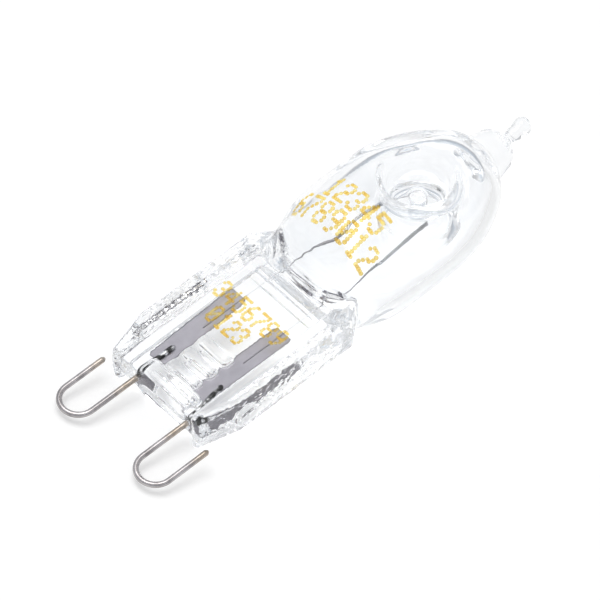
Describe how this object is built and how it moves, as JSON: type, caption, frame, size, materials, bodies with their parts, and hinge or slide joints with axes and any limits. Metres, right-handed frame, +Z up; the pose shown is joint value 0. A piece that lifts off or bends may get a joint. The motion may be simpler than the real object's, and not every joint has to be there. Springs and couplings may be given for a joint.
{
  "type": "halogen capsule bulb",
  "caption": "Small clear glass halogen capsule with a flat pressed seal, sealing foils, a hairpin filament and looped wire pins, lying on its side.",
  "frame": {"origin": "centre of the bounding box's underside, on the surface that the lamp lies on", "axes": "+X along the lying lamp towards its sealed tip, +Y across it, +Z up"},
  "size_m": [0.0458, 0.0132, 0.013],
  "materials": {
    "glass": "clear, fire-polished",
    "pin_wire": "drawn wire, lightly oxidised",
    "foil": "matt grey foil",
    "lead_wire": "drawn wire",
    "tungsten": "fine coiled wire",
    "marking": "thin amber stamping ink"
  },
  "bodies": {
    "root": {"glass_envelope": "glass", "contact_loop_left": "pin_wire", "contact_loop_right": "pin_wire", "foil_left": "foil", "foil_right": "foil", "inner_lead_left": "lead_wire", "inner_lead_right": "lead_wire", "filament": "tungsten"}
  },
  "joints": []
}
